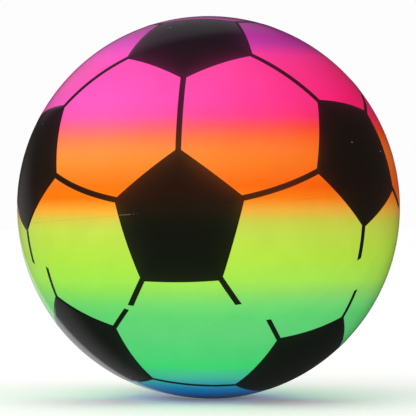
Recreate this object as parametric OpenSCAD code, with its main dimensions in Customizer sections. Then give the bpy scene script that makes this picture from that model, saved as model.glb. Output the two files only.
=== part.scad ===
// Inflatable moulded PVC ball with a black football print and a plug valve.
// Origin at the middle of the ball, +Z up, the front is -Y, millimetres and degrees.
// The ball stands on the small patch that its weight presses flat.

/* [Ball] */
// Outside diameter of the inflated ball
ball_d = 220; // [160:1:300]
// Thickness of the moulded skin
skin_t = 0.6; // [0.5:0.1:1.5]
// Radius of the patch that the ball's weight presses flat
patch_r = 9; // [5:0.5:14]
// Lean of the mould's axis, which the valve is on, from upright
mould_lean = -5; // [-10:0.5:10]

/* [Print] */
// Thickness of the sprayed print
print_t = 0.1; // [0.05:0.05:0.3]
// Angle at the ball's middle from the centre of a stencil's pole pentagon to its straight side
pole_reach = 16.2; // [15:0.1:18]
// The same for the five pentagons of the ring, measured up and down the ball
ring_reach = 17.3; // [15:0.1:18.5]
// The same measured round the ball, which is less because the stencils are a little narrow
ring_side_reach = 16.3; // [15:0.1:18.5]
// Angle round the stencil's equator from a ring pentagon's middle to the line below its corner
stub_crossing = 16; // [15:0.5:18]
// Width of the lines that join the pentagons of the upper stencil
upper_line_w = 3.1; // [1:0.1:4]
// Width of those of the lower stencil
lower_line_w = 2.6; // [1:0.1:4]
// Height above the upper stencil's own equator where its rim stops the paint
upper_rim = 1.5; // [1:0.5:8]
// The same for the lower stencil, measured down from its equator
lower_rim = 2.5; // [2:0.5:8]
// Sideways lean of the upper stencil's pole
upper_lean = -5.9; // [-6.5:0.1:-5]
// Forward tilt of that pole
upper_tilt = 30.2; // [29:0.1:31]
// Turn of the upper stencil about its pole
upper_spin = -28; // [-28.5:0.1:-27]
// Sideways lean of the lower stencil's pole, which isn't in line with the upper one
lower_lean = 3.4; // [3:0.1:4.5]
// Forward tilt of that pole
lower_tilt = 33.2; // [32.5:0.1:34]
// Turn of the lower stencil about its pole
lower_spin = 16.6; // [16:0.1:17]

/* [Valve] */
// Radius of the flange that is fused to the inside of the skin
flange_r = 15; // [15:0.5:20]
// Thickness of that flange
flange_t = 1.2; // [0.8:0.1:2]
// Radius of the well that the stopper's head lies in
well_r = 6.5; // [5.5:0.1:8]
// Depth of the well below the ball's surface
well_depth = 2.4; // [2:0.1:3]
// Outer radius of the neck's tube
tube_r = 4.6; // [4.2:0.1:5.2]
// Radius of the scoop beside the well, where a fingernail gets under the head
scoop_r = 3; // [2:0.1:3]
// Width of the cap's rim outside the well and its scoop
cap_rim = 0.5; // [0.5:0.1:2]
// Radius of the bore that holds the stopper's shank
bore_r = 3; // [2.6:0.1:3.4]
// Radius of the narrow port that takes the pump's nozzle
port_r = 2; // [1.2:0.1:2.4]
// Length of the port
port_length = 7; // [5:0.5:10]

/* [Stopper] */
// Thickness of the head
head_t = 1.9; // [1.4:0.1:2.2]
// Gap around the shank that its ribs fill
shank_gap = 0.5; // [0.3:0.1:0.8]
// Length of the shank below the head
shank_length = 8.4; // [6:0.1:9]
// Space left in the bore past the shank's tip
tip_gap = 1.2; // [0.5:0.1:3]
// Height of one sealing rib
rib_h = 0.9; // [0.5:0.1:1.2]
// Distance from one rib to the next
rib_pitch = 2.2; // [1.6:0.1:2.6]

/* [Check flap] */
// Radius of the flap's disc
flap_r = 3.6; // [3:0.1:4]
// Thickness of the disc
flap_t = 0.8; // [0.6:0.1:1.2]
// Radius of the trunnion that the flap turns on
trunnion_r = 0.7; // [0.5:0.05:0.9]
// Thickness of the barrel that the flap has around its trunnion
barrel_wall = 0.5; // [0.3:0.1:0.8]
// Thickness of each ear that holds the trunnion
ear_t = 1.2; // [0.8:0.1:1.6]
// Width of the ear's material around the trunnion's hole
ear_wall = 0.6; // [0.5:0.1:0.8]
// How far each ear runs up the side of the tube
ear_height = 4; // [3:0.5:5]
// Gap between the two ears
ear_gap = 4; // [3:0.1:5]

/* [Hidden] */
$fn = 240;

// Clearances
running_gap = 0.05; // between a shaft and its hole
loose_gap = 0.3;    // between two pieces that only pass each other
seat_gap = 0.1;     // between the flap or the stopper and what it closes on
past = 1;           // how far a cut runs past the surface that it opens

ball_r = ball_d / 2;
inner_r = ball_r - skin_t;
patch_sag = ball_r - sqrt(pow(ball_r, 2) - pow(patch_r, 2));

// Half of a football's print: a pentagon on the stencil's pole and five in a ring round it
fifth = 72;
ring_polar = atan(2); // from the pole to the middle of a pentagon in the ring
print_colour = [0.06, 0.05, 0.05];

// Heights along the valve's axis, from the ball's middle
well_floor = ball_r - well_depth;
cap_r = well_r + scoop_r + cap_rim;
head_floor = well_floor + seat_gap;
shank_r = bore_r - shank_gap;
bore_floor = head_floor - shank_length - tip_gap;
port_floor = bore_floor - port_length;

// The flap's trunnion, just clear of the outside of the tube
barrel_r = trunnion_r + barrel_wall;
trunnion_x = tube_r + loose_gap + barrel_r;
trunnion_z = port_floor - seat_gap - flap_t / 2;
trunnion_hole_r = trunnion_r + running_gap;
ear_r = trunnion_hole_r + ear_wall;

module at_valve() rotate([0, mould_lean, 0]) children();

module set_upper()
    rotate([0, upper_lean, 0]) rotate([upper_tilt, 0, 0]) rotate([0, 0, upper_spin]) children();

// The lower stencil is used with its pole down
module set_lower()
    rotate([0, lower_lean, 0]) rotate([lower_tilt, 0, 0]) rotate([180, 0, lower_spin]) children();

// A ball whose underside is cut flat, at a height that keeps the wall even over the patch
module flattened_ball(r)
    difference() {
        sphere(r);
        translate([-ball_r, -ball_r, -r - ball_r + patch_sag]) cube([ball_d, ball_d, ball_r]);
    }

module skin()
    color([0.72, 0.92, 0.3])
    difference() {
        flattened_ball(ball_r);
        flattened_ball(inner_r);
        at_valve() cylinder(h = ball_r + past, r = cap_r);
    }

// The print, in a stencil's own frame with its pole on +Z

function unit(v) = v / norm(v);
function about_y(v, turn) = [v.x * cos(turn) + v.z * sin(turn), v.y, v.z * cos(turn) - v.x * sin(turn)];
function about_z(v, turn) = [v.x * cos(turn) - v.y * sin(turn), v.x * sin(turn) + v.y * cos(turn), v.z];

// The way to a corner at that angle round a pentagon whose middle is on +Z
function corner(reach, side_reach, angle) =
    [tan(reach) * cos(angle), tan(side_reach) * sin(angle), cos(fifth / 2)] / cos(fifth / 2);

function pole_corner(k) = unit(corner(pole_reach, pole_reach, fifth * k));
function ring_corner(k, angle) =
    about_z(about_y(unit(corner(ring_reach, ring_side_reach, angle)), ring_polar), fifth * k);

// A pyramid from the ball's middle out through a pentagon
module pentagon_ray(reach, side_reach, turn) {
    long = ball_r + print_t + past;
    corners = [for (k = [0:4]) long * corner(reach, side_reach, fifth * k + turn)];
    polyhedron(
        points = concat([[0, 0, 0]], corners),
        faces = concat([for (k = [0:4]) [0, k + 1, (k + 1) % 5 + 1]], [[5, 4, 3, 2, 1]]));
}

module pentagon_rays() {
    pentagon_ray(pole_reach, pole_reach, 0);
    for (k = [0:4])
        rotate([0, 0, fifth * k]) rotate([0, ring_polar, 0])
            pentagon_ray(ring_reach, ring_side_reach, fifth / 2);
}

// A bar that stands on the great circle between two corners and runs on past them
module line_ray(start, stop, wide) {
    middle = unit(start + stop);
    side = unit(cross(start, stop));
    ahead = cross(side, middle);
    half = ball_r * norm(stop - start) / 2 + wide;
    multmatrix([for (i = [0:2]) [ahead[i], side[i], middle[i], 0]])
        translate([-half, -wide / 2, ball_r / 2])
        cube([2 * half, wide, ball_r / 2 + print_t + past]);
}

// A bar between two corners that are equally far from the stencil's pole, bowed as a circle round it
module level_ray(start, stop, wide) {
    thick = wide * norm([start.x, start.y]);
    half = ball_r * norm(stop - start) / 2 + wide;
    rotate([0, 0, atan2(start.y + stop.y, start.x + stop.x)])
        translate([ball_r / 2, -half, ball_r * start.z - thick / 2])
        cube([ball_r / 2 + print_t + past, 2 * half, thick]);
}

module line_rays(wide)
    for (k = [0:4]) {
        line_ray(pole_corner(k), ring_corner(k, 180), wide);
        level_ray(ring_corner(k, 1.5 * fifth), ring_corner(k + 1, -1.5 * fifth), wide);
        for (way = [-1, 1])
            line_ray(
                ring_corner(k, way * fifth / 2),
                [cos(fifth * k + way * stub_crossing), sin(fifth * k + way * stub_crossing), 0],
                wide);
    }

module print_film()
    difference() {
        sphere(ball_r + print_t);
        sphere(ball_r);
    }

module stencil_pentagons()
    intersection() {
        print_film();
        pentagon_rays();
    }

module stencil_lines(rim, wide)
    difference() {
        intersection() {
            print_film();
            line_rays(wide);
            translate([-ball_d, -ball_d, rim]) cube([2 * ball_d, 2 * ball_d, ball_d]);
        }
        pentagon_rays();
    }

module upper_pentagons()
    color(print_colour) set_upper() stencil_pentagons();

module upper_lines()
    color(print_colour) set_upper() stencil_lines(upper_rim, upper_line_w);

module lower_pentagons()
    color(print_colour) set_lower() stencil_pentagons();

module lower_lines()
    color(print_colour) set_lower() stencil_lines(lower_rim, lower_line_w);

// The valve, on the mould's axis

module valve_cap()
    intersection() {
        sphere(ball_r);
        translate([0, 0, well_floor - flange_t]) cylinder(h = ball_r, r = cap_r);
    }

module valve_flange()
    intersection() {
        difference() {
            sphere(inner_r);
            sphere(inner_r - flange_t);
        }
        cylinder(h = ball_r, r = flange_r);
    }

module ear(side)
    translate([0, side * (ear_gap + ear_t) / 2, 0]) rotate([90, 0, 0])
        difference() {
            union() {
                translate([trunnion_x, trunnion_z, -ear_t / 2]) cylinder(h = ear_t, r = ear_r);
                translate([trunnion_x - ear_r, trunnion_z, -ear_t / 2])
                    cube([2 * ear_r, port_floor + ear_height - trunnion_z, ear_t]);
                translate([bore_r, port_floor, -ear_t / 2])
                    cube([trunnion_x + ear_r - bore_r, ear_height, ear_t]);
            }
            translate([trunnion_x, trunnion_z, -ear_t]) cylinder(h = 2 * ear_t, r = trunnion_hole_r);
        }

module valve_neck()
    color([0.93, 0.92, 0.86])
    at_valve() difference() {
        union() {
            valve_cap();
            valve_flange();
            translate([0, 0, port_floor]) cylinder(h = well_floor - port_floor, r = tube_r);
            for (side = [-1, 1]) ear(side);
        }
        translate([0, 0, well_floor]) cylinder(h = ball_r, r = well_r);
        translate([-well_r, 0, well_floor]) cylinder(h = ball_r, r = scoop_r);
        translate([0, 0, bore_floor]) cylinder(h = ball_r, r = bore_r);
        translate([0, 0, port_floor - past]) cylinder(h = ball_r, r = port_r);
    }

module check_flap()
    color([0.25, 0.25, 0.27])
    at_valve() union() {
        translate([0, 0, trunnion_z - flap_t / 2]) cylinder(h = flap_t, r = flap_r);
        translate([0, -ear_gap / 2 + loose_gap, trunnion_z - flap_t / 2])
            cube([trunnion_x, ear_gap - 2 * loose_gap, flap_t]);
        translate([trunnion_x, ear_gap / 2 - loose_gap, trunnion_z]) rotate([90, 0, 0])
            cylinder(h = ear_gap - 2 * loose_gap, r = barrel_r);
        translate([trunnion_x, ear_gap / 2 + ear_t, trunnion_z]) rotate([90, 0, 0])
            cylinder(h = ear_gap + 2 * ear_t, r = trunnion_r);
    }

module stopper()
    color([0.97, 0.97, 0.95])
    at_valve() union() {
        intersection() {
            translate([0, 0, head_floor]) cylinder(h = head_t, r = well_r - loose_gap);
            sphere(head_floor + head_t);
        }
        translate([0, 0, head_floor - shank_length + shank_r])
            cylinder(h = shank_length - shank_r + head_t / 2, r = shank_r);
        translate([0, 0, head_floor - shank_length])
            cylinder(h = shank_r, r1 = shank_r / 2, r2 = shank_r);
        for (k = [0:1]) translate([0, 0, head_floor - rib_pitch * (k + 1)])
            cylinder(h = rib_h, r = bore_r - running_gap);
    }

skin();
upper_pentagons();
upper_lines();
lower_pentagons();
lower_lines();
valve_neck();
check_flap();
stopper();
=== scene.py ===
"""Looks of a moulded play ball with sprayed colour bands, a black football print and a plug valve.

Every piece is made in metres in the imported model's frame: the ball's middle is the origin, +Z is up
and the front is -Y. Run it as a script: main() makes each piece through its own operator.
"""

import math

import bpy
import numpy as np
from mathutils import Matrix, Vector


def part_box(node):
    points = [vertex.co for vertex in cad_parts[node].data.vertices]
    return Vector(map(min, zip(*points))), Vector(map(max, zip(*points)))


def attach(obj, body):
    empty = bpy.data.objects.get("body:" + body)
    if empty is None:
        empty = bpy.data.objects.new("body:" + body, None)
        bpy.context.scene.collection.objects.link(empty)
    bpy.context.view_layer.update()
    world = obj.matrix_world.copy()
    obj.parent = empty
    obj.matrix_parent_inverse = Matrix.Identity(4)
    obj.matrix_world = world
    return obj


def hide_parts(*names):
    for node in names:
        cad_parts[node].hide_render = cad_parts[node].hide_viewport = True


bl_info = {
    "name": "Play ball",
    "version": (1, 0, 0),
    "blender": (4, 5, 0),
    "location": "View3D > Sidebar > Play ball",
    "description": "Makes a moulded play ball with colour bands, a football print and a valve",
    "category": "Object",
}

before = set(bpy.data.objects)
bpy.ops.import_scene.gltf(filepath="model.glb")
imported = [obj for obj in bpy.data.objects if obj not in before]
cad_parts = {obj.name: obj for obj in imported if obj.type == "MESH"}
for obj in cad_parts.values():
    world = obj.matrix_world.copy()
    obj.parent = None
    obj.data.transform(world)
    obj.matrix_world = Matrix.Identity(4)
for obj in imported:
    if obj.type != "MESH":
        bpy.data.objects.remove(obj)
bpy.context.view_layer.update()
SKIN_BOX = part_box("skin")
BALL_RADIUS = round((SKIN_BOX[1][1] - SKIN_BOX[0][1]) / 2, 4)
FLOOR_HEIGHT = SKIN_BOX[0][2]
MM = 0.001

# Scales of the noise patterns, in waves per metre
WAVER_SCALE, CLOUD_SCALE = 14.0, 60.0
SWELL_SCALE, PEEL_SCALE = 36.0, 420.0
SEAM_SCALE, WORN_SCALE = 90.0, 400.0
SPRAY_SCALE, RARE_SCALE, STREAK_SCALE = 22.0, 30.0, 60.0
SHADE_SCALE, DIMPLE_SCALE, GRAIN_SCALE = 180.0, 300.0, 2500.0
FLOOR_SCALE = 3.0

# Past these places along X, a band is wholly in its right colour, with painted shade, or wholly in its left
# colour, with a painted highlight
RIGHT_SHADE_FULL, LEFT_HIGHLIGHT_FULL = 80 * MM, -56 * MM

# The mould's ridge has rubbed through the print here, fully within the first of these distances
RUBBED_SPOT = (-0.0437, -0.1008, -0.0038)
RUBBED_RADIUS, RUBBED_END = 5 * MM, 6.5 * MM

# The print is darker below these heights and beyond these distances from the middle, where less of
# the band shows through it. COVER_FADE is how fast its cover grows inward from the edge, in millimetres.
PRINT_DARKEST_BELOW, PRINT_LIGHTEST_ABOVE = -15 * MM, 12 * MM
PRINT_LIGHTEST_WITHIN, PRINT_DARKER_BEYOND = 35 * MM, 75 * MM
COVER_FADE = 5.5

# How far a film of print sinks into the skin, how far a line runs on under a pentagon, and how far a
# line's face lies below the pentagon's. The film's edges drop by these shares of its thickness.
FILM_SINK, LINE_TUCK, LINE_DROP = 0.04 * MM, 1.5 * MM, 0.012 * MM
RIM_DROP, SHOULDER_DROP, LINE_EDGE_DROP = 0.03, 0.18, 0.12

# Fillets of the moulded pieces: the usual one, and the one on thin edges
FILLET, FINE_FILLET = 0.25 * MM, 0.12 * MM

# ---------------------------------------------------------------- sizes and colours


def length(name, value, description):
    """A size in metres."""
    return bpy.props.FloatProperty(
        name=name, description=description, default=value, precision=5, subtype="DISTANCE", unit="LENGTH"
    )


def angle(name, degrees, description):
    """An angle, given in degrees."""
    return bpy.props.FloatProperty(
        name=name, description=description, default=math.radians(degrees), subtype="ANGLE", unit="ROTATION"
    )


def colour(name, rgb, description):
    """A colour given as a painter's swatch, from 0 to 255 in each of red, green and blue."""
    return bpy.props.FloatVectorProperty(
        name=name,
        description=description,
        default=[c / 255 for c in rgb],
        size=3,
        min=0.0,
        max=1.0,
        subtype="COLOR_GAMMA",
    )


class SkinSizes(bpy.types.PropertyGroup):
    """The moulded skin."""

    radius: length("Radius", BALL_RADIUS, "Outside radius of the blown-up ball")
    wall: length("Wall", 0.6 * MM, "Thickness of the moulded skin")
    mould_lean: angle("Mould lean", -5, "Lean of the mould's axis, which the valve is on, from upright")
    flash_height: length("Flash height", 0.06 * MM, "Height of the fine ridge where the mould's halves meet")
    flash_width: length("Flash width", 0.22 * MM, "Half width of that ridge")


class PrintSizes(bpy.types.PropertyGroup):
    """The two halves of the football print."""

    thickness: length("Thickness", 0.1 * MM, "Thickness of the sprayed print")
    pole_reach: angle("Pole reach", 16.2, "Angle from the pole pentagon's centre to its straight side")
    ring_reach: angle("Ring reach", 17.3, "The same in the ring's pentagons, up and down the ball")
    ring_side_reach: angle("Ring side reach", 16.3, "The same in the ring's pentagons, round the ball")
    stub_crossing: angle("Stub crossing", 16, "Angle round the equator from a pentagon to its loose line")
    upper_line: length("Upper line", 3.1 * MM, "Width of the upper stencil's lines")
    lower_line: length("Lower line", 2.6 * MM, "Width of the lower stencil's lines")
    upper_rim: length("Upper rim", 1.5 * MM, "Height above its equator where the upper stencil ends")
    lower_rim: length("Lower rim", 2.5 * MM, "Depth below its equator where the lower stencil ends")
    upper_lean: angle("Upper lean", -5.9, "Sideways lean of the upper stencil's pole")
    upper_tilt: angle("Upper tilt", 30.2, "Forward tilt of the upper stencil's pole")
    upper_spin: angle("Upper spin", -28, "Turn of the upper stencil about its pole")
    lower_lean: angle("Lower lean", 3.4, "Sideways lean of the lower stencil's pole")
    lower_tilt: angle("Lower tilt", 33.2, "Forward tilt of the lower stencil's pole")
    lower_spin: angle("Lower spin", 16.6, "Turn of the lower stencil about its pole")


class ValveSizes(bpy.types.PropertyGroup):
    """The valve's neck, with the stopper that closes it."""

    well_radius: length("Well radius", 6.5 * MM, "Radius of the well that the stopper's head lies in")
    well_depth: length("Well depth", 2.4 * MM, "Depth of the well below the ball's surface")
    scoop_radius: length("Scoop radius", 3 * MM, "Radius of the fingernail's scoop beside the well")
    cap_rim: length("Cap rim", 0.5 * MM, "Width of the cap's rim outside the well and its scoop")
    flange_radius: length("Flange radius", 15 * MM, "Radius of the flange inside the skin")
    flange_thickness: length("Flange thickness", 1.2 * MM, "Thickness of that flange")
    tube_radius: length("Tube radius", 4.6 * MM, "Outer radius of the neck's tube")
    bore_radius: length("Bore radius", 3 * MM, "Radius of the bore that holds the stopper")
    tip_gap: length("Tip gap", 1.2 * MM, "Space left in the bore past the stopper's tip")
    port_radius: length("Port radius", 2 * MM, "Radius of the port for the pump's nozzle")
    port_length: length("Port length", 7 * MM, "Length of that port")
    ear_gap: length("Ear gap", 4 * MM, "Gap between the two ears that hold the flap")
    ear_thickness: length("Ear thickness", 1.2 * MM, "Thickness of each ear")
    ear_height: length("Ear height", 4 * MM, "How far each ear runs up the side of the tube")
    ear_radius: length("Ear radius", 1.35 * MM, "Radius of the ear's round end")
    pin_hole: length("Pin hole", 0.75 * MM, "Radius of the hole for the flap's trunnion")
    pin_reach: length("Pin reach", 6.1 * MM, "Distance from the valve's axis to the trunnion")
    pin_drop: length("Pin drop", 0.5 * MM, "Depth of the trunnion below the port")
    seat_gap: length("Seat gap", 0.1 * MM, "Gap under the stopper's head")
    head_radius: length("Head radius", 6.2 * MM, "Radius of the stopper's head")
    head_thickness: length("Head thickness", 1.9 * MM, "Thickness of the stopper's head")
    shank_radius: length("Shank radius", 2.5 * MM, "Radius of the stopper's shank between its ribs")
    shank_length: length("Shank length", 8.4 * MM, "Length of the stopper's shank")
    rib_radius: length("Rib radius", 2.95 * MM, "Radius of the stopper's sealing ribs")
    rib_height: length("Rib height", 0.9 * MM, "Height of one sealing rib")
    rib_pitch: length("Rib pitch", 2.2 * MM, "Distance from one rib to the next")


# The bands from the bottom up: a name, its height on the ball in millimetres, and its colour on
# the ball's left and right. Part of that difference is painted light, a highlight on the left and
# shade on the right, and part is the spray's own unevenness from side to side.
BANDS = (
    ("navy", -109.0, (6, 30, 62), (6, 28, 58)),
    ("deep_blue", -105.5, (8, 86, 152), (6, 82, 146)),
    ("blue", -101.5, (14, 128, 180), (8, 121, 174)),
    ("sea_green", -95.0, (70, 190, 161), (66, 185, 156)),
    ("grass_green", -88.0, (64, 220, 117), (61, 216, 113)),
    ("green", -80.0, (80, 214, 120), (82, 213, 118)),
    ("mint", -66.0, (95, 211, 116), (101, 217, 124)),
    ("pale_mint", -59.0, (97, 213, 111), (98, 220, 118)),
    ("mint_edge", -53.0, (114, 218, 105), (118, 225, 121)),
    ("leaf", -46.5, (141, 225, 87), (148, 226, 106)),
    ("lime", -40.0, (163, 234, 76), (172, 237, 85)),
    ("bright_lime", -27.0, (178, 229, 67), (188, 234, 68)),
    ("yellow_lime", -14.0, (193, 226, 76), (196, 222, 75)),
    ("yellow", -8.0, (211, 210, 76), (204, 211, 72)),
    ("amber", -1.5, (252, 170, 50), (238, 179, 62)),
    ("deep_orange", 5.0, (252, 120, 0), (254, 129, 17)),
    ("red_orange", 11.5, (248, 120, 13), (254, 93, 1)),
    ("orange", 24.5, (254, 144, 51), (254, 109, 14)),
    ("pale_orange", 31.0, (254, 144, 66), (254, 111, 22)),
    ("coral", 37.5, (254, 126, 84), (254, 97, 7)),
    ("salmon", 44.0, (253, 102, 129), (254, 64, 6)),
    ("rose", 50.5, (252, 88, 179), (254, 30, 88)),
    ("hot_pink", 60.0, (254, 89, 191), (254, 20, 111)),
    ("pink", 77.0, (254, 83, 182), (249, 32, 112)),
    ("magenta", 84.5, (254, 81, 194), (244, 38, 121)),
    ("plum", 91.5, (232, 70, 195), (176, 44, 137)),
    ("purple", 99.0, (203, 62, 174), (160, 30, 136)),
    ("dark_purple", 109.0, (158, 50, 138), (146, 34, 128)),
)


class BandColours(bpy.types.PropertyGroup):
    """The sprayed bands. Each has its colour on the ball's left, with a painted highlight, and on its right,
    with painted shade.
    """

    waver: length("Waver", 0.7 * MM, "How far a band's edge strays from level")


# Each band's left colour holds a painted highlight and its right colour painted shade
for band, _height, highlit_left, shaded_right in BANDS:
    title = band.replace("_", " ").capitalize()
    BandColours.__annotations__[band + "_left"] = colour(title + ", left", highlit_left, "Colour on the left")
    BandColours.__annotations__[band + "_right"] = colour(title + ", right", shaded_right, "Colour on the right")


class OtherColours(bpy.types.PropertyGroup):
    """The print's and the valve's colours."""

    black: colour("Black", (13, 14, 11), "The print, where the paint is thickest")
    thin_paint: bpy.props.FloatProperty(
        name="Thin paint", description="Share of the band that shows at the print's edge", default=0.086
    )
    thick_paint: bpy.props.FloatProperty(
        name="Thick paint", description="Share of the band that shows inside the print", default=0.014
    )
    worn_paint: colour("Worn paint", (124, 112, 82), "The print where the mould's ridge has rubbed it")
    dust: colour("Dust", (190, 186, 176), "Specks of dust on the print")
    soil: colour("Soil", (60, 70, 50), "Specks of dirt on the bands")
    seam: colour("Seam", (89, 77, 31), "The parting line on the bands")
    valve_soil: colour("Valve soil", (77, 71, 61), "Specks of dirt on the valve")
    neck: colour("Neck", (236, 232, 215), "The valve's neck")
    rubber: colour("Rubber", (58, 58, 62), "The check flap")
    stopper: colour("Stopper", (246, 246, 242), "The stopper")
    floor: colour("Floor", (250, 250, 250), "The studio's floor")


class BallSettings(bpy.types.PropertyGroup):
    """Everything a user can change, in groups."""

    skin: bpy.props.PointerProperty(type=SkinSizes, name="Skin", description="The moulded skin")
    football: bpy.props.PointerProperty(type=PrintSizes, name="Print", description="The football print")
    valve: bpy.props.PointerProperty(type=ValveSizes, name="Valve", description="The valve and its stopper")
    bands: bpy.props.PointerProperty(type=BandColours, name="Bands", description="The sprayed bands")
    colours: bpy.props.PointerProperty(type=OtherColours, name="Colours", description="The other colours")


# ---------------------------------------------------------------- surfaces


def turn(axis, radians):
    """Rotation matrix about X, Y or Z by the right-hand rule."""
    c, s = math.cos(radians), math.sin(radians)
    return {
        "X": np.array([[1, 0, 0], [0, c, -s], [0, s, c]]),
        "Y": np.array([[c, 0, s], [0, 1, 0], [-s, 0, c]]),
        "Z": np.array([[c, -s, 0], [s, c, 0], [0, 0, 1]]),
    }[axis]


def grid_faces(rows, columns, start=0, loop_columns=True, loop_rows=False):
    """Quads of a grid whose point (r, c) is vertex start + r * columns + c.

    A looped side joins its last row or column to its first.
    """
    r = np.arange(rows if loop_rows else rows - 1)[:, None]
    c = np.arange(columns if loop_columns else columns - 1)[None, :]
    r2, c2 = (r + 1) % rows, (c + 1) % columns
    corners = (r * columns + c, r * columns + c2, r2 * columns + c2, r2 * columns + c)
    return start + np.stack(np.broadcast_arrays(*corners), axis=-1).reshape(-1, 4)


def fan_faces(pole, ring, flip):
    """Triangles from one pole vertex to a closed ring of vertices."""
    nxt = np.roll(ring, -1)
    fan = np.stack([np.full_like(ring, pole), ring, nxt], axis=-1)
    return fan[:, ::-1] if flip else fan


def capped_faces(rows, columns, inward=False):
    """A tube's quads with a fan at each end, to the two pole vertices that follow the grid's own."""
    first, last = np.arange(columns), rows * columns
    quads = grid_faces(rows, columns)
    return [
        quads[:, ::-1] if inward else quads,
        fan_faces(last, first, not inward),
        fan_faces(last + 1, first + last - columns, inward),
    ]


def revolved(profile, columns):
    """A profile of (radius, height) pairs carried round Z: point (r, c) is at angle 2 pi c / columns.

    The profile starts and ends on the axis, and each end is one vertex with a fan of triangles. Walking
    the profile with the axis on the left gives faces that point away from what it encloses.
    """
    around = np.arange(columns) * 2 * np.pi / columns
    inner = profile[1:-1]
    ring = np.stack(
        [
            inner[:, :1] * np.cos(around),
            inner[:, :1] * np.sin(around),
            np.broadcast_to(inner[:, 1:], (len(inner), columns)),
        ],
        axis=-1,
    )
    points = np.concatenate([ring.reshape(-1, 3), [[0, 0, profile[0, 1]], [0, 0, profile[-1, 1]]]])
    return points, capped_faces(len(inner), columns)


def make_mesh(name, points, faces, body, material, replaced, attributes=None):
    """An object of that name from points and lists of faces, smooth, riding on a body of the frame."""
    mesh = bpy.data.meshes.new(name)
    every_face = [face for part in faces for face in part.tolist()]
    mesh.from_pydata(points.tolist(), [], every_face)
    mesh.polygons.foreach_set("use_smooth", np.ones(len(mesh.polygons), dtype=bool))
    for key, values in (attributes or {}).items():
        mesh.attributes.new(key, "FLOAT", "POINT").data.foreach_set("value", values.astype(np.float32))
    mesh.update()
    if mesh.validate():
        raise RuntimeError(name + " has faulty faces")
    piece = bpy.data.objects.new(name, mesh)
    bpy.context.scene.collection.objects.link(piece)
    mesh.materials.append(material)
    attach(piece, body)
    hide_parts(replaced)
    return piece


def joined(parts):
    """Several (points, list of faces) as one."""
    points, faces, start = [], [], 0
    for part_points, part_faces in parts:
        points.append(part_points)
        faces += [f + start for f in part_faces]
        start += len(part_points)
    return np.concatenate(points), faces


def rounded(corners, steps=4):
    """A line through corners of (x, y, fillet radius), each corner turned by an arc that touches both sides.

    The arc's centre lies on the corner's bisector, at radius / sin(half the corner's angle) from it.
    """
    c = np.array([k[:2] for k in corners], float)
    out = []
    for i, (x, y, r) in enumerate(corners):
        p = c[i]
        a, b = c[i - 1] - p, c[(i + 1) % len(c)] - p
        la, lb = np.linalg.norm(a), np.linalg.norm(b)
        if r <= 0 or la == 0 or lb == 0:
            out.append(p[None])
            continue
        a, b = a / la, b / lb
        half = math.acos(float(np.clip(a @ b, -1, 1))) / 2
        if half > math.radians(88) or half < math.radians(2):
            out.append(p[None])
            continue
        r = min(r, 0.45 * min(la, lb) * math.tan(half))
        back = r / math.tan(half)
        centre = p + (a + b) / np.linalg.norm(a + b) * (r / math.sin(half))
        start, stop = p + a * back - centre, p + b * back - centre
        sweep = math.atan2(start[0] * stop[1] - start[1] * stop[0], float(start @ stop))
        t = np.linspace(0, sweep, steps + 1)
        cos, sin = np.cos(t), np.sin(t)
        out.append(centre + np.stack([start[0] * cos - start[1] * sin, start[0] * sin + start[1] * cos], -1))
    return np.concatenate(out)


# ---------------------------------------------------------------- shader nodes


def linear(swatch):
    """A swatch's share of light in each of red, green and blue."""
    c = np.array(swatch[:3])
    return np.where(c <= 0.04045, c / 12.92, ((c + 0.055) / 1.055) ** 2.4).tolist() + [1.0]


class Tree:
    """Short ways to add and join the nodes of one tree."""

    def __init__(self, tree):
        self.tree = tree
        self.column = 0

    def add(self, kind, inputs=None, **settings):
        """A node with its settings. An input is a value, or a socket to link from."""
        node = self.tree.nodes.new(kind)
        node.location = (self.column * 190, -40 * (self.column % 5))
        self.column += 1
        for key, value in settings.items():
            setattr(node, key, value)
        for key, value in (inputs or {}).items():
            self.give(node, key, value)
        return node

    def give(self, node, key, value):
        """Sets a node's input to a value, or links it from a socket."""
        if isinstance(value, bpy.types.NodeSocket):
            self.tree.links.new(value, node.inputs[key])
        else:
            node.inputs[key].default_value = value

    def math(self, operation, a, b=0.0, clamp=False):
        """The result of one Math node."""
        node = self.add("ShaderNodeMath", {0: a, 1: b}, operation=operation, use_clamp=clamp)
        return node.outputs[0]

    def vector(self, operation, inputs, output=0):
        """The result of one Vector Math node."""
        return self.add("ShaderNodeVectorMath", inputs, operation=operation).outputs[output]

    def place(self):
        """The place on the piece, in metres in the frame."""
        return self.add("ShaderNodeTexCoord").outputs["Object"]

    def spread(self, value, low, high, to_low=0.0, to_high=1.0):
        """value moved from low..high to to_low..to_high, with soft ends and no overshoot."""
        inputs = {"Value": value, "From Min": low, "From Max": high, "To Min": to_low, "To Max": to_high}
        return self.add("ShaderNodeMapRange", inputs, interpolation_type="SMOOTHSTEP").outputs["Result"]

    def noise(self, place, scale, detail=2.0, roughness=0.5):
        """Noise from 0 to 1 at that many waves per metre."""
        inputs = {"Vector": place, "Scale": scale, "Detail": detail, "Roughness": roughness}
        return self.add("ShaderNodeTexNoise", inputs).outputs["Fac"]

    def mix(self, factor, a, b):
        """Colour a turned into colour b by a factor from 0 to 1."""
        return self.add("ShaderNodeMix", {0: factor, 6: a, 7: b}, data_type="RGBA").outputs[2]

    def use(self, group, **inputs):
        """A node group's node. Its inputs are named with _ for a space."""
        node = self.add("ShaderNodeGroup", node_tree=bpy.data.node_groups[group])
        for key, value in inputs.items():
            node.inputs[key.replace("_", " ")].default_value = value
        return node


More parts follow.
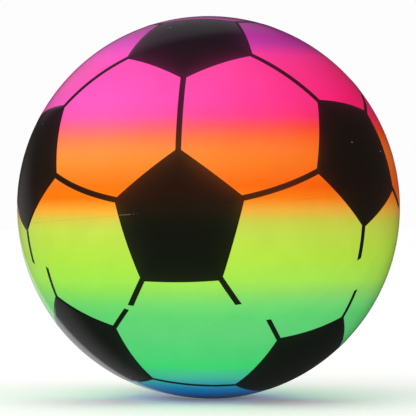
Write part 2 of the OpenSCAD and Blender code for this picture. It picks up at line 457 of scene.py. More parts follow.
def new_group(name, inputs, outputs):
    """An empty node group with named sockets: (its tree helper, its input node)."""
    group = bpy.data.node_groups.new(name, "ShaderNodeTree")
    for key, value in inputs.items():
        socket = group.interface.new_socket(name=key, in_out="INPUT", socket_type="NodeSocketFloat")
        socket.default_value = value
    for key, kind in outputs.items():
        group.interface.new_socket(name=key, in_out="OUTPUT", socket_type=kind)
    t = Tree(group)
    return t, t.add("NodeGroupInput")


def finish_group(t, results):
    """Ends a node group with what it puts out."""
    t.add("NodeGroupOutput", results)


def bands_with_painted_light(settings):
    """Node group: the bands' colour at a place. Height sets the band, and left to right its side.

    Height strays by waver * (2 * noise - 1). The colour is mixed from the two sides' ramps in
    proportion to x between the right and the left end, which paints a highlight on the left and
    shade on the right, and clouded by a few hundredths.
    """
    t, given = new_group("Sprayed bands", {"Waver": 0.7 * MM}, {"Color": "NodeSocketColor"})
    place = t.place()
    axes = t.add("ShaderNodeSeparateXYZ", {0: place})
    stray = t.math("SUBTRACT", t.noise(place, WAVER_SCALE, 3.0), 0.5)
    stray = t.math("MULTIPLY", t.math("MULTIPLY", stray, 2.0), given.outputs["Waver"])
    height = t.math("ADD", axes.outputs["Z"], stray)
    low, high = BANDS[0][1] * MM, BANDS[-1][1] * MM
    along = t.math("DIVIDE", t.math("SUBTRACT", height, low), high - low, clamp=True)
    ramps = []
    for side in ("left", "right"):
        node = t.add("ShaderNodeValToRGB", {"Fac": along})
        stops = node.color_ramp.elements
        while len(stops) < len(BANDS):
            stops.new(0.5)
        for stop, (_band, up, _left, _right) in zip(stops, BANDS):
            stop.position = (up * MM - low) / (high - low)
        for stop, (band, _up, _left, _right) in zip(stops, BANDS):
            stop.color = linear(getattr(settings.bands, band + "_" + side))
        ramps.append(node.outputs["Color"])
    # Mix by x of the right colour, with painted shade, and the left colour, with a painted highlight
    ends = {"Value": axes.outputs["X"], "From Min": RIGHT_SHADE_FULL, "From Max": LEFT_HIGHLIGHT_FULL}
    side = t.add("ShaderNodeMapRange", ends).outputs["Result"]
    paint = t.mix(side, ramps[1], ramps[0])
    cloud = t.spread(t.noise(place, CLOUD_SCALE, 4.0, 0.6), 0.3, 0.7, 0.975, 1.02)
    finish_group(t, {0: t.vector("SCALE", {0: paint, "Scale": cloud})})


def specks():
    """Node group: a mask of a few tiny round specks, one at most in each cell of the given size."""
    sizes = {"Cell": 0.03, "Radius": 0.0005, "Share": 0.2}
    t, given = new_group("Specks", sizes, {"Mask": "NodeSocketFloat"})
    scale = t.math("DIVIDE", 1.0, given.outputs["Cell"])
    cells = t.add("ShaderNodeTexVoronoi", {"Vector": t.place(), "Scale": scale, "Randomness": 1.0})
    away = t.math("MULTIPLY", cells.outputs["Distance"], given.outputs["Cell"])
    near = t.math("SUBTRACT", 1.0, t.math("DIVIDE", away, given.outputs["Radius"]), clamp=True)
    dice = t.add("ShaderNodeSeparateColor", {0: cells.outputs["Color"]}).outputs[0]
    kept = t.math("LESS_THAN", dice, given.outputs["Share"])
    finish_group(t, {0: t.math("MULTIPLY", t.math("MULTIPLY", near, 3.0, clamp=True), kept)})


def mould_line(settings):
    """Node group: 1 on the great circle where the mould's halves meet, fading over the half width."""
    t, given = new_group("Mould line", {"Half width": 0.3 * MM}, {"Line": "NodeSocketFloat"})
    lean = settings.skin.mould_lean
    axis = (math.sin(lean), 0.0, math.cos(lean))
    up = t.vector("DOT_PRODUCT", {0: t.place(), 1: axis}, "Value")
    off = t.math("DIVIDE", t.math("ABSOLUTE", up), given.outputs["Half width"])
    finish_group(t, {0: t.math("SUBTRACT", 1.0, off, clamp=True)})


def handling_marks():
    """Node group: a mask of faint smears, and one of short fine scratches where two noises agree."""
    results = {"Smears": "NodeSocketFloat", "Scratches": "NodeSocketFloat"}
    t, given = new_group("Handling marks", {"Smear size": 0.05}, results)
    place = t.place()
    scale = t.math("DIVIDE", 1.0, given.outputs["Smear size"])
    smear = t.spread(t.noise(place, scale, 5.0, 0.62), 0.45, 0.7)
    stretch = {"Vector": place, "Rotation": (0.4, 0.9, 0.3), "Scale": (1.0, 1.0, 12.0)}
    streak = t.noise(t.add("ShaderNodeMapping", stretch).outputs[0], STREAK_SCALE, 3.0, 0.55)
    off = t.math("ABSOLUTE", t.math("SUBTRACT", streak, 0.5))
    thin = t.math("SUBTRACT", 1.0, t.math("MULTIPLY", off, 60.0), clamp=True)
    rare = t.spread(t.noise(place, RARE_SCALE, 1.0), 0.58, 0.68)
    finish_group(t, {0: smear, 1: t.math("MULTIPLY", thin, rare)})


def new_material(name, swatch):
    """A material with only its Principled shader: (material, tree helper, shader node)."""
    material = bpy.data.materials.new(name + "_finish")
    material.use_nodes = True
    material.diffuse_color = linear(swatch)
    t = Tree(material.node_tree)
    shader = next(n for n in material.node_tree.nodes if n.type == "BSDF_PRINCIPLED")
    shader.location = (2600, 0)
    return material, t, shader


def coat(t, shader, paint, gloss, bump):
    """Joins a colour, a roughness and a normal to the shader."""
    for key, socket in (("Base Color", paint), ("Roughness", gloss), ("Normal", bump)):
        t.tree.links.new(socket, shader.inputs[key])


def glossy_coat(t, shader, place, paint, smear_size, dullest, peel, swell, relief):
    """Paint with a gloss that smears and scratches dull, over fine orange peel and a slow swell.

    relief(height, scratches) adds the material's own relief to the height.
    """
    marks = t.use("Handling marks", Smear_size=smear_size)
    gloss = t.spread(marks.outputs["Smears"], 0.0, 1.0, 0.1, dullest)
    gloss = t.math("ADD", gloss, t.math("MULTIPLY", marks.outputs["Scratches"], 0.15))
    fine = t.math("MULTIPLY", t.noise(place, PEEL_SCALE), peel)
    slow = t.math("MULTIPLY", t.noise(place, SWELL_SCALE), swell)
    height = relief(t.math("ADD", fine, slow), marks.outputs["Scratches"])
    bump = t.add("ShaderNodeBump", {"Height": height, "Strength": 0.1, "Distance": 0.4 * MM})
    coat(t, shader, paint, gloss, bump.outputs[0])
    shader.inputs["IOR"].default_value = 1.5


def skin_material(settings):
    """Glossy sprayed vinyl: bands, a few specks of dirt, a faint parting line, faint orange peel."""
    material, t, shader = new_material("moulded_skin", settings.bands.lime_left)
    place = t.place()
    paint = t.use("Sprayed bands", Waver=settings.bands.waver).outputs[0]
    dirt = t.use("Specks", Cell=0.034, Radius=0.0009, Share=0.3).outputs[0]
    paint = t.mix(t.math("MULTIPLY", dirt, 0.5), paint, linear(settings.colours.soil))
    line = t.use("Mould line", Half_width=0.3 * MM).outputs[0]
    broken = t.spread(t.noise(place, SEAM_SCALE), 0.4, 0.62)
    seam = t.math("MULTIPLY", t.math("MULTIPLY", line, broken), 0.14)
    paint = t.mix(seam, paint, linear(settings.colours.seam))

    def scratched(height, scratches):
        return t.math("SUBTRACT", height, t.math("MULTIPLY", scratches, 0.05))

    glossy_coat(t, shader, place, paint, 0.05, 0.17, 0.1, 0.9, scratched)
    return material


def print_material(settings):
    """Thin glossy black paint: the band below shows through, most where the spray is thin at its edges.

    The share that shows is thick_paint + (thin_paint - thick_paint) * exp(-distance from the edge /
    fade) * an uneven factor, and it is less low on the ball and out to the sides.
    """
    colours = settings.colours
    material, t, shader = new_material("black_print", colours.black)
    place = t.place()
    band = t.use("Sprayed bands", Waver=settings.bands.waver).outputs[0]
    inside = t.add("ShaderNodeAttribute", attribute_name="edge_distance").outputs["Fac"]
    near_edge = t.math("POWER", math.e, t.math("MULTIPLY", inside, -1 / COVER_FADE))
    uneven = t.spread(t.noise(place, SPRAY_SCALE, 3.0), 0.3, 0.7, 0.7, 1.3)
    thinner = colours.thin_paint - colours.thick_paint
    share = t.math("MULTIPLY", t.math("MULTIPLY", near_edge, uneven), thinner)
    share = t.math("ADD", share, colours.thick_paint)
    axes = t.add("ShaderNodeSeparateXYZ", {0: place})
    sideways = t.math("ABSOLUTE", axes.outputs["X"])
    # Less of the band shows low on the ball and out to the sides, so the print is darker there
    share = t.math("MULTIPLY", share, t.spread(axes.outputs["Z"], PRINT_DARKEST_BELOW, PRINT_LIGHTEST_ABOVE, 0.22, 1.0))
    share = t.math("MULTIPLY", share, t.spread(sideways, PRINT_LIGHTEST_WITHIN, PRINT_DARKER_BEYOND, 1.0, 0.35))
    seen = t.vector("SCALE", {0: band, "Scale": share})
    paint = t.vector("ADD", {0: seen, 1: linear(colours.black)[:3]})
    line = t.use("Mould line", Half_width=0.28 * MM).outputs[0]
    broken = t.spread(t.noise(place, WORN_SCALE), 0.42, 0.5)
    rubbed = t.vector("DISTANCE", {0: place, 1: RUBBED_SPOT}, "Value")
    near = t.spread(rubbed, RUBBED_RADIUS, RUBBED_END, 0.9, 0.03)
    worn = t.math("MULTIPLY", t.math("MULTIPLY", line, broken), near)
    paint = t.mix(worn, paint, linear(colours.worn_paint))
    dust = t.use("Specks", Cell=0.012, Radius=0.0005, Share=0.6).outputs[0]
    paint = t.mix(t.math("MULTIPLY", dust, 0.6), paint, linear(colours.dust))

    def ridged(height, _scratches):
        return t.math("ADD", height, t.math("MULTIPLY", line, 0.2))

    glossy_coat(t, shader, place, paint, 0.04, 0.18, 0.12, 1.0, ridged)
    return material


def small_part_material(name, swatch, rough, grain, shade=0.05):
    """A moulded piece of the valve: slight shade changes, fine grain, smears and a few specks."""
    material, t, shader = new_material(name, swatch)
    place = t.place()
    base = linear(swatch)
    dark = [c * (1 - 2 * shade) for c in base[:3]] + [1.0]
    paint = t.mix(t.spread(t.noise(place, SHADE_SCALE, 4.0, 0.6), 0.35, 0.7), base, dark)
    soil = t.use("Specks", Cell=0.004, Radius=0.00016, Share=0.25).outputs[0]
    soiled = linear(bpy.context.scene.play_ball.colours.valve_soil)
    paint = t.mix(t.math("MULTIPLY", soil, 0.35), paint, soiled)
    marks = t.use("Handling marks", Smear_size=0.008)
    gloss = t.spread(marks.outputs["Smears"], 0.0, 1.0, rough, min(1.0, rough + 0.12))
    dimples = t.math("MULTIPLY", t.noise(place, DIMPLE_SCALE), 2.0)
    height = t.math("ADD", t.noise(place, GRAIN_SCALE, 3.0), dimples)
    bump = t.add("ShaderNodeBump", {"Height": height, "Strength": grain, "Distance": 0.05 * MM})
    coat(t, shader, paint, gloss, bump.outputs[0])
    return material


def material_of(name):
    """One of the record's five finishes, made the first time that a piece asks for it."""
    made = bpy.data.materials.get(name + "_finish")
    if made:
        return made
    settings = bpy.context.scene.play_ball
    if "Specks" not in bpy.data.node_groups:
        bands_with_painted_light(settings)
        specks()
        mould_line(settings)
        handling_marks()
    colours = settings.colours
    if name == "moulded_skin":
        return skin_material(settings)
    if name == "black_print":
        return print_material(settings)
    if name == "valve_pvc":
        return small_part_material(name, colours.neck, 0.28, 0.25)
    if name == "flap_rubber":
        return small_part_material(name, colours.rubber, 0.6, 0.5, 0.12)
    if name == "stopper_plastic":
        return small_part_material(name, colours.stopper, 0.22, 0.15, 0.03)
    raise RuntimeError("no finish is called " + name)


# ---------------------------------------------------------------- the skin


def skin_surface(settings):
    """The skin as one closed surface of revolution about the mould's axis.

    The profile runs up the inside from the lower pole to the valve's hole, over the hole's rounded lip,
    and down the outside to the lower pole. Outside, its radius is the ball's plus a fine ridge of
    height * exp(-(d / width)^2), where d is the distance from the mould's parting plane. Both walls are
    then pressed level where they would reach below the resting patch.
    """
    sizes, valve = settings.skin, settings.valve
    outer, inner = sizes.radius, sizes.radius - sizes.wall
    hole = valve.well_radius + valve.scoop_radius + valve.cap_rim
    lip, clear = FINE_FILLET, 0.6 * MM
    parting = np.pi / 2
    fine = np.concatenate([np.arange(-8, 9) * 0.075, [-1.2, 1.2]]) * MM / outer + parting
    down = np.linspace(math.asin((hole + clear) / outer), np.pi, 140)[:-1]
    down = np.sort(np.concatenate([down[np.abs(down - parting) > 0.015], fine]))
    ridge = sizes.flash_height * np.exp(-(((down - parting) * outer / sizes.flash_width) ** 2))
    outside = np.stack([(outer + ridge) * np.sin(down), (outer + ridge) * np.cos(down)], -1)
    up = np.linspace(np.pi, math.asin((hole + clear) / inner), 72)[1:]
    inside = np.stack([inner * np.sin(up), inner * np.cos(up)], -1)
    top, bottom = math.sqrt(outer**2 - hole**2), math.sqrt(inner**2 - hole**2)
    rim = [[hole, bottom], [hole, top - lip]]
    rim += [[hole + 0.3 * lip, top - 0.3 * lip], [hole + lip, top - 0.01 * MM]]
    profile = np.concatenate([[[0, -inner]], inside, rim, outside, [[0, -outer]]])
    points, faces = revolved(profile, 288)
    points = points @ turn("Y", sizes.mould_lean).T
    distance = np.linalg.norm(points, axis=1)
    patch = np.where(distance > outer - sizes.wall / 2, FLOOR_HEIGHT, FLOOR_HEIGHT + sizes.wall)
    points[:, 2] = np.maximum(points[:, 2], patch)
    return points, faces


# ---------------------------------------------------------------- the football print

# A fifth of a turn, and the angle from a stencil's pole to the middles of the ring's pentagons
FIFTH = 2 * np.pi / 5
RING_POLAR = math.atan(2)


def spherical(polar, around):
    """The direction at an angle from the pole and an angle round it."""
    return np.array([math.sin(polar) * math.cos(around), math.sin(polar) * math.sin(around), math.cos(polar)])


def flat_corners(reach, side_reach, turned):
    """Corner directions of a pentagon on the pole: (tan(reach) cos a, tan(side_reach) sin a, cos 36 deg)."""
    a = np.arange(5) * FIFTH + turned
    edge = math.cos(FIFTH / 2)
    corners = np.stack([math.tan(reach) * np.cos(a), math.tan(side_reach) * np.sin(a), np.full(5, edge)], -1)
    return corners / np.linalg.norm(corners, axis=1, keepdims=True)


def stencil_corners(sizes):
    """The five corner directions of each of a stencil's six pentagons, pole first, then the ring."""
    pentagons = [flat_corners(sizes.pole_reach, sizes.pole_reach, 0.0)]
    ringed = flat_corners(sizes.ring_reach, sizes.ring_side_reach, FIFTH / 2)
    return pentagons + [ringed @ (turn("Z", FIFTH * k) @ turn("Y", RING_POLAR)).T for k in range(5)]


def pentagon_film(corners, low, high, rows=16, per_side=14):
    """One closed film over a pentagon: (points, faces, distance in mm from its edge).

    Point (s, u) is in the direction (1 - s) * centre + s * (point u of the way round the corners), so
    its sides are great circles. It lies at radius low or high in that direction, and a little under
    high along the edge, which softens it.
    """
    centre = corners.mean(axis=0)
    centre = centre / np.linalg.norm(centre)
    flat = corners / (corners @ centre)[:, None]
    t = (np.arange(per_side) / per_side)[None, :, None]
    ring = (flat[:, None] * (1 - t) + np.roll(flat, -1, axis=0)[:, None] * t).reshape(-1, 3)
    s = np.linspace(0, 1, rows + 1)[1:, None, None]
    rays = centre * (1 - s) + ring * s
    rays /= np.linalg.norm(rays, axis=-1, keepdims=True)
    thick = high - low
    upper = rays * high
    upper[-1] = rays[-1] * (high - RIM_DROP * thick)
    shoulder = rays[-1:] * (high - SHOULDER_DROP * thick)
    grid = np.concatenate([upper, shoulder, rays[::-1] * low])
    count = grid.shape[1]
    points = np.concatenate([grid.reshape(-1, 3), [centre * high, centre * low]])
    off_centre = np.arccos(np.clip(ring @ centre / np.linalg.norm(ring, axis=1), -1, 1))
    apothem = off_centre.min() * high / MM
    inside = (1 - np.concatenate([s[:, 0, 0], [1.0], s[::-1, 0, 0]])) * apothem
    inside = np.concatenate([np.repeat(inside, count), [apothem, apothem]])
    return points, capped_faces(len(grid), count, inward=True), inside


def line_film(start, stop, half_width, low, high, stop_in, cut=None, level=False, rows=26, across=7):
    """One closed film along the great circle from start to stop: (points, faces, distance from its edge).

    Point (a, b) is in the direction cos(a) * start + sin(a) * ahead + b * side, where ahead is square to
    start in the circle's plane, and side is square to both. The ends run on past their points, by
    LINE_TUCK and stop_in. With a cut, each long line ends where its height above the pole's plane is cut:
    a = lag + arccos((cut * sqrt(1 + b^2) - b * side_z) / hypot(start_z, ahead_z)).
    A level film follows a circle round the pole instead. With w as start's distance from the pole's axis,
    its height is z = start_z + b * w, its angle round the pole is start's + a / w, and its distance from
    the axis is sqrt(1 - z^2).
    """
    side = np.cross(start, stop)
    side /= np.linalg.norm(side)
    ahead = np.cross(side, start)
    whole = math.atan2(stop @ ahead, stop @ start)
    b = np.linspace(-1, 1, across) * half_width / high
    first = np.full(across, -LINE_TUCK / high)
    last = np.full(across, whole + stop_in / high)
    if cut is not None:
        height = np.hypot(start[2], ahead[2])
        lag = math.atan2(ahead[2], start[2])
        last = lag + np.arccos(np.clip((cut / high * np.sqrt(1 + b**2) - b * side[2]) / height, -1, 1))
    if level:
        w = math.hypot(start[0], start[1])
        from_pole = math.atan2(start[1], start[0])
        last += ((math.atan2(stop[1], stop[0]) - from_pole) % (2 * np.pi)) * w - whole
    t = np.linspace(0, 1, rows)[:, None]
    a = first * (1 - t) + last * t
    if level:
        z = np.broadcast_to(start[2] + b * w, a.shape)
        out = np.sqrt(1 - z**2)
        rays = np.stack([out * np.cos(from_pole + a / w), out * np.sin(from_pole + a / w), z], -1)
    else:
        rays = np.cos(a)[..., None] * start + np.sin(a)[..., None] * ahead + b[None, :, None] * side
        rays /= np.linalg.norm(rays, axis=-1, keepdims=True)
    at_edge = np.arange(across) % (across - 1) == 0
    drop = (high - low) * np.where(at_edge, LINE_EDGE_DROP, 0.0)
    upper = rays * (high - drop)[None, :, None]
    grid = np.concatenate([upper, rays[:, ::-1] * low], axis=1)
    around = grid.shape[1]
    faces = [grid_faces(rows, around)]
    i = np.arange(across - 1)
    cap = np.stack([i, i + 1, around - 2 - i, around - 1 - i], -1)
    faces += [cap, cap[:, ::-1] + (rows - 1) * around]
    off = (half_width - np.abs(b) * high) / MM
    inside = np.tile(np.concatenate([off, off[::-1]]), rows)
    return grid.reshape(-1, 3), faces, inside


def stencil_films(sizes, rim, wide, radius):
    """A stencil's pentagons and lines in its own frame, pole up: two lists of (points, faces, distance)."""
    low, high = radius - FILM_SINK, radius + sizes.thickness
    corners = stencil_corners(sizes)
    pentagons = [pentagon_film(c, low, high) for c in corners]
    half, tucked = wide / 2, high - LINE_DROP
    lines = []
    for k in range(5):
        top = corners[0][k]
        ring, following = corners[k + 1], corners[(k + 1) % 5 + 1]
        mine = ring[np.argmax(ring @ top)]
        lines.append(line_film(top, mine, half, low, tucked, LINE_TUCK))
        near = ring[np.argmax(ring @ following.mean(axis=0))]
        far = following[np.argmax(following @ ring.mean(axis=0))]
        lines.append(line_film(near, far, half, low, tucked, LINE_TUCK, level=True))
        for way in (-1, 1):
            crossing = spherical(np.pi / 2, FIFTH * k + way * sizes.stub_crossing)
            foot = ring[np.argmax(ring @ crossing)]
            lines.append(line_film(foot, crossing, half, low, tucked, 0.0, cut=rim, rows=18))
    return pentagons, lines


def merged_films(films, place):
    """Films of one stencil as one, turned to its place on the ball."""
    points, faces = joined([(p, f) for p, f, _d in films])
    return points @ place.T, faces, np.concatenate([d for _p, _f, d in films])


# ---------------------------------------------------------------- the valve


def neck_surface(valve, radius, wall, columns=144):
    """The neck as one closed section carried round the valve's axis.

    In direction a, the well's wall is at the farther of the well's radius and the scoop's circle, which
    is at -d * cos(a) + sqrt(s^2 - d^2 * sin(a)^2), with its centre at distance d towards -X and its
    radius s. Points of the section that belong to that wall move out with it.
    """
    cap = valve.well_radius + valve.scoop_radius + valve.cap_rim
    inner = radius - wall
    below = inner - valve.flange_thickness
    floor = radius - valve.well_depth
    bore_floor = floor + valve.seat_gap - valve.shank_length - valve.tip_gap
    port_floor = bore_floor - valve.port_length
    soft = FILLET

    def on(sphere, across):
        """Height on a sphere at a distance from its axis."""
        return math.sqrt(sphere**2 - across**2)

    section = rounded(
        [
            (valve.well_radius, on(radius, valve.well_radius), soft),
            ((valve.well_radius + cap) / 2, on(radius, (valve.well_radius + cap) / 2), 0),
            (cap, on(radius, cap), FINE_FILLET),
            (cap, on(inner, cap), 0),
            (valve.flange_radius, on(inner, valve.flange_radius), soft),
            (valve.flange_radius, on(below, valve.flange_radius), soft),
            (cap, on(below, cap), soft),
            (cap, floor - valve.flange_thickness, soft),
            (valve.tube_radius, floor - valve.flange_thickness, 2 * soft),
            (valve.tube_radius, port_floor, soft),
            (valve.port_radius, port_floor, 0.5 * soft),
            (valve.port_radius, bore_floor, 0.5 * soft),
            (valve.bore_radius, bore_floor, 0.5 * soft),
            (valve.bore_radius, floor, soft),
            (valve.well_radius, floor, soft),
        ]
    )
    a = np.arange(columns) * 2 * np.pi / columns
    d, s = valve.well_radius, valve.scoop_radius
    across = s**2 - (d * np.sin(a)) ** 2
    scoop = np.where((across > 0) & (np.cos(a) < 0), -d * np.cos(a) + np.sqrt(np.maximum(across, 0)), 0)
    push = np.maximum(scoop - d, 0)
    moves = (np.abs(section[:, 0] - d) < 1.05 * soft) & (section[:, 1] > floor - 0.01 * MM)
    r = section[:, :1] + moves[:, None] * push
    z = np.broadcast_to(section[:, 1:], r.shape)
    top = moves[:, None] & (section[:, 1:] > floor + 1.2 * MM)
    level = np.sqrt(radius**2 - r**2) - math.sqrt(radius**2 - d**2)
    z = np.where(top, z + np.where(push > 0, level, 0), z)
    grid = np.stack([r * np.cos(a), r * np.sin(a), z], -1)
    faces = [grid_faces(len(section), columns, loop_rows=True)]
    return grid.reshape(-1, 3), faces, port_floor


def ear_surface(valve, port_floor, side, around=72):
    """One ear: a plate between its pin hole and its outline, star-shaped about the hole.

    In direction a from the hole's centre, the outline is the nearest of the ear's straight sides above
    the pin, and the round end's radius below it.
    """
    a = np.arange(around) * 2 * np.pi / around
    cos, sin = np.cos(a), np.sin(a)
    least = 1e-6
    sides = valve.ear_radius / np.maximum(np.abs(cos), least)
    end = (valve.ear_height + valve.pin_drop) / np.maximum(sin, least)
    outline = np.where(sin <= 0, valve.ear_radius, np.minimum(sides, end))
    soft = FINE_FILLET
    half = valve.ear_thickness / 2
    hole = np.full(around, valve.pin_hole)
    radii = [hole, hole + soft / 2, outline - soft, outline, outline, outline - soft, hole + soft / 2, hole]
    depths = [half - soft / 2, half, half, half - soft, soft - half, -half, -half, soft / 2 - half]
    r = np.stack(radii)
    y = side * (valve.ear_gap + valve.ear_thickness) / 2 + np.array(depths)[:, None] + 0 * r
    grid = np.stack([valve.pin_reach + r * cos, y, port_floor - valve.pin_drop + r * sin], -1)
    plate = (grid.reshape(-1, 3), [grid_faces(len(radii), around, loop_rows=True)])
    return [plate, ear_root(valve, port_floor, side)]


def ear_root(valve, port_floor, side):
    """The ear's block between the tube and the pin, as a box with softened edges."""
    inside, soft = 0.02 * MM, FINE_FILLET
    x0, x1 = (valve.bore_radius + valve.tube_radius) / 2, valve.pin_reach - valve.ear_radius / 2
    z0, z1 = port_floor + inside, port_floor + valve.ear_height - inside
    y0 = side * (valve.ear_gap + valve.ear_thickness) / 2
    half = valve.ear_thickness / 2 - inside
    outline = rounded([(x0, z0, soft), (x1, z0, soft), (x1, z1, soft), (x0, z1, soft)], 3)
    middle = outline.mean(axis=0)
    inset = middle + (outline - middle) * 0.9
    rings = [(inset, -half), (outline, soft - half), (outline, half - soft), (inset, half)]
    grid = np.stack([np.stack([ring[:, 0], np.full(len(ring), y0 + y), ring[:, 1]], -1) for ring, y in rings])
    count = len(outline)
    ends = [[middle[0], y0 + y, middle[1]] for y in (-half, half)]
    return np.concatenate([grid.reshape(-1, 3), ends]), capped_faces(len(rings), count)


def stopper_surface(valve, radius, columns=120):
    """The stopper as a surface of revolution: a cone, a ribbed shank, a domed head with a shallow ring.

    The dome is part of a sphere round the ball's middle: its height is sqrt(top^2 - distance^2).
    """
    floor = radius - valve.well_depth + valve.seat_gap
    top = floor + valve.head_thickness

    def on_dome(across, sink, fillet):
        """A corner on the dome, or that far under it."""
        return (across, math.sqrt(top**2 - across**2) - sink, fillet)

    soft, fine = FILLET, FINE_FILLET
    groove = 3.6 * MM
    tip = floor - valve.shank_length
    shank, rib = valve.shank_radius, valve.rib_radius
    corners = [(0.0, tip, 0), (shank / 2, tip, soft), (shank, tip + shank, 2 * soft)]
    for k in (2, 1):
        low = floor - valve.rib_pitch * k
        high = low + valve.rib_height
        corners += [(shank, low, fine), (rib, low, 0.3 * MM), (rib, high, 0.3 * MM), (shank, high, fine)]
    corners += [(shank, floor, soft), (valve.head_radius, floor, soft)]
    corners += [on_dome(valve.head_radius, 0.0, 1.6 * soft), on_dome(valve.head_radius - 0.9 * MM, 0.0, 0)]
    for across, sink in ((0.5, 0.0), (0.0, 0.18), (-0.5, 0.0)):
        corners.append(on_dome(groove + across * MM, sink * MM, 0.2 * MM))
    corners += [on_dome(0.9 * MM, 0.0, 0.1 * MM), on_dome(0.6 * MM, fine, 0.1 * MM), (0.0, top - fine, 0)]
    return revolved(rounded(corners), columns)


# ---------------------------------------------------------------- operators


class MakeSkin(bpy.types.Operator):
    """Make the moulded skin with its parting ridge, valve hole and resting patch"""

    bl_idname = "play_ball.make_skin"
    bl_label = "Skin"

    def execute(self, context):
        settings = context.scene.play_ball
        points, faces = skin_surface(settings)
        make_mesh("moulded_skin", points, faces, "ball", material_of("moulded_skin"), "skin")
        return {"FINISHED"}


class MakePrint(bpy.types.Operator):
    """Make the football print's pentagons and lines, the upper half's and the lower half's"""

    bl_idname = "play_ball.make_print"
    bl_label = "Football print"

    def execute(self, context):
        settings = context.scene.play_ball
        sizes, radius = settings.football, settings.skin.radius
        paint = material_of("black_print")
        upper = turn("Y", sizes.upper_lean) @ turn("X", sizes.upper_tilt) @ turn("Z", sizes.upper_spin)
        lower = turn("Y", sizes.lower_lean) @ turn("X", sizes.lower_tilt) @ turn("Z", sizes.lower_spin)
        halves = (
            ("upper", sizes.upper_rim, sizes.upper_line, upper),
            ("lower", sizes.lower_rim, sizes.lower_line, lower @ turn("X", np.pi)),
        )
        for half, rim, wide, place in halves:
            for kind, films in zip(("pentagons", "lines"), stencil_films(sizes, rim, wide, radius)):
                points, faces, inside = merged_films(films, place)
                name, node = f"painted_{half}_{kind}", f"{half}_{kind}"
                make_mesh(name, points, faces, "ball", paint, node, {"edge_distance": inside})
        return {"FINISHED"}


class MakeValveNeck(bpy.types.Operator):
    """Make the valve's neck with its well, scoop, bore, port, flange and ears"""

    bl_idname = "play_ball.make_valve_neck"
    bl_label = "Valve neck"

    def execute(self, context):
        settings = context.scene.play_ball
        valve, skin = settings.valve, settings.skin
        points, faces, port_floor = neck_surface(valve, skin.radius, skin.wall)
        parts = [(points, faces)] + ear_surface(valve, port_floor, -1) + ear_surface(valve, port_floor, 1)
        points, faces = joined(parts)
        points = points @ turn("Y", skin.mould_lean).T
        make_mesh("neck_moulding", points, faces, "ball", material_of("valve_pvc"), "valve_neck")
        return {"FINISHED"}


class MakeStopper(bpy.types.Operator):
    """Make the stopper with its ribbed shank, and give the check flap its rubber"""

    bl_idname = "play_ball.make_stopper"
    bl_label = "Stopper and flap"

    def execute(self, context):
        settings = context.scene.play_ball
        points, faces = stopper_surface(settings.valve, settings.skin.radius)
        points = points @ turn("Y", settings.skin.mould_lean).T
        plastic = material_of("stopper_plastic")
        make_mesh("plug_stopper", points, faces, "stopper", plastic, "stopper")
        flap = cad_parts["check_flap"]
        flap.data.materials.clear()
        flap.data.materials.append(material_of("flap_rubber"))
        return {"FINISHED"}


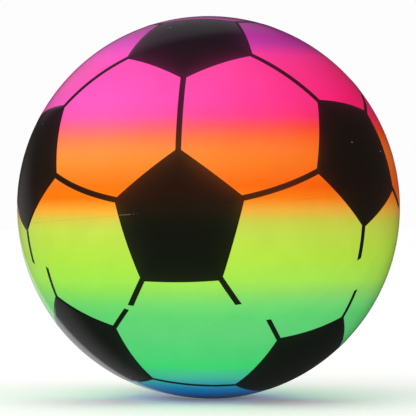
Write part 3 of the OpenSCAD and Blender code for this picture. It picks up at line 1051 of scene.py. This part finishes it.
class MakeStage(bpy.types.Operator):
    """Make the pale floor, the soft studio light and the camera"""

    bl_idname = "play_ball.make_stage"
    bl_label = "Stage"

    def execute(self, context):
        scene = context.scene
        settings = scene.play_ball
        self.floor(scene, settings)
        self.sky(scene)
        self.lights(scene)
        self.camera(scene, settings.skin.radius)
        scene.view_settings.view_transform = "Standard"
        scene.view_settings.look = "None"
        return {"FINISHED"}

    def floor(self, scene, settings):
        """A round floor of rings. Only the camera sees it, so the sky lights the ball's underside too."""
        rings = np.concatenate([[0.0], np.geomspace(0.05, 12.0, 24)])
        profile = np.stack([rings, np.full(len(rings), FLOOR_HEIGHT)], -1)
        profile = np.concatenate([profile, [[0.0, FLOOR_HEIGHT - 0.01]]])
        points, faces = revolved(profile, 96)
        mesh = bpy.data.meshes.new("studio_floor")
        mesh.from_pydata(points.tolist(), [], [f for part in faces for f in part.tolist()])
        material, t, shader = new_material("studio_floor", settings.colours.floor)
        base = linear(settings.colours.floor)
        shade = [c * 0.97 for c in base[:3]] + [1.0]
        cloud = t.spread(t.noise(t.place(), FLOOR_SCALE, 3.0), 0.35, 0.65)
        t.tree.links.new(t.mix(cloud, base, shade), shader.inputs["Base Color"])
        shader.inputs["Roughness"].default_value = 0.9
        shader.inputs["Specular IOR Level"].default_value = 0.1
        shader.inputs["Emission Color"].default_value = (1, 1, 1, 1)
        shader.inputs["Emission Strength"].default_value = 0.12
        mesh.materials.append(material)
        floor = bpy.data.objects.new("studio_floor", mesh)
        floor.visible_glossy = False
        floor.visible_diffuse = False
        floor.visible_shadow = False
        scene.collection.objects.link(floor)

    def sky(self, scene):
        """Even white light that falls off to the right and behind, and a quieter room in reflections.

        Each light is a soft step of the cosine between the ray and the light's direction.
        """
        world = bpy.data.worlds.new("studio")
        scene.world = world
        world.use_nodes = True
        world.node_tree.nodes.clear()
        t = Tree(world.node_tree)
        toward = t.add("ShaderNodeTexCoord").outputs["Generated"]

        def lobe(direction, start, full, outside, inside):
            cosine = t.vector("DOT_PRODUCT", {0: toward, 1: direction}, "Value")
            return t.spread(cosine, start, full, outside, inside)

        def white(strength):
            return t.add("ShaderNodeBackground", {"Color": (1, 1, 1, 1), "Strength": strength}).outputs[0]

        dark_side, low_left, above = (0.83, 0.55, 0.0), (-0.52, 0.8, -0.3), (-0.2, 0.8, 0.57)
        fill = white(lobe(dark_side, 0.3, 1.0, 1.04, 0.5))
        room = t.math("ADD", lobe(low_left, 0.87, 0.99, 0.03, 0.2), lobe(above, 0.9, 0.97, 0.0, 0.16))
        rays = t.add("ShaderNodeLightPath").outputs
        lit = t.add("ShaderNodeMixShader", {0: rays["Is Glossy Ray"], 1: fill, 2: white(room)})
        lit = t.add("ShaderNodeMixShader", {0: rays["Is Camera Ray"], 1: lit.outputs[0], 2: white(0.98)})
        t.add("ShaderNodeOutputWorld", {0: lit.outputs[0]})

    def lights(self, scene):
        """A large soft key from the upper left, and a white card behind, low on the left, for the rim.

        The key turns to face the ball. The card's power gives each of its points the radiance that is
        asked for: radiance * pi * area.
        """
        key = bpy.data.lights.new("key_softbox", "AREA")
        key.shape, key.size, key.size_y, key.energy = "RECTANGLE", 1.6, 1.6, 9.0
        x, y, z = place = (-1.3, -1.6, 1.7)
        facing = (math.atan2(math.hypot(x, y), z), 0, math.atan2(x, -y))
        self.lamp(scene, key, place, facing, glossy=False)
        card, radiance = bpy.data.lights.new("rim_card", "AREA"), 0.5
        card.shape, card.size, card.size_y = "ELLIPSE", 1.3, 0.76
        card.energy = radiance * math.pi * (math.pi / 4 * card.size * card.size_y)
        self.lamp(scene, card, (-0.47, 2.0, -0.45), (math.radians(-90), math.radians(-44), 0), glossy=True)

    def lamp(self, scene, light, place, rotation, glossy):
        """A lamp that only reflections see, or that only diffuse light sees."""
        lamp = bpy.data.objects.new(light.name, light)
        lamp.location = place
        lamp.rotation_euler = rotation
        lamp.visible_camera = False
        lamp.visible_glossy = glossy
        lamp.visible_diffuse = not glossy
        scene.collection.objects.link(lamp)

    def camera(self, scene, radius):
        """Level with the ball's middle and 14 radii away, with a long lens.

        The ball's edge is at asin(1 / away) from the view's axis, so a ball that fills a share of the
        frame's width needs a lens of sensor * share / 2 * sqrt(away^2 - 1).
        """
        away, share, sensor = 14.0, 0.920673, 36.0
        data = bpy.data.cameras.new("camera")
        data.sensor_width = sensor
        data.lens = sensor * share / 2 * math.sqrt(away**2 - 1)
        data.shift_x = data.shift_y = -0.0012
        data.clip_start, data.clip_end = 0.05, 60.0
        camera = bpy.data.objects.new("camera", data)
        camera.location = (0.0, -away * radius, 0.0)
        camera.rotation_euler = (math.radians(90), 0, 0)
        scene.collection.objects.link(camera)
        scene.camera = camera


class PlayBallPanel(bpy.types.Panel):
    """The ball's pieces and their sizes, in the 3D view's sidebar"""

    bl_idname = "VIEW3D_PT_play_ball"
    bl_label = "Play ball"
    bl_space_type = "VIEW_3D"
    bl_region_type = "UI"
    bl_category = "Play ball"

    def draw(self, context):
        settings = context.scene.play_ball
        for operator in MAKERS:
            self.layout.operator(operator.bl_idname)
        for group in (settings.skin, settings.football, settings.valve, settings.bands, settings.colours):
            box = self.layout.box()
            for key in group.__annotations__:
                box.prop(group, key)


MAKERS = (MakeSkin, MakePrint, MakeValveNeck, MakeStopper, MakeStage)
GROUPS = (SkinSizes, PrintSizes, ValveSizes, BandColours, OtherColours, BallSettings)
CLASSES = GROUPS + MAKERS + (PlayBallPanel,)


def register():
    for cls in CLASSES:
        bpy.utils.register_class(cls)
    bpy.types.Scene.play_ball = bpy.props.PointerProperty(type=BallSettings)


def unregister():
    del bpy.types.Scene.play_ball
    for cls in reversed(CLASSES):
        bpy.utils.unregister_class(cls)


def main():
    register()
    bpy.ops.play_ball.make_stage()
    bpy.ops.play_ball.make_skin()
    bpy.ops.play_ball.make_print()
    bpy.ops.play_ball.make_valve_neck()
    bpy.ops.play_ball.make_stopper()


if __name__ == "__main__":
    main()
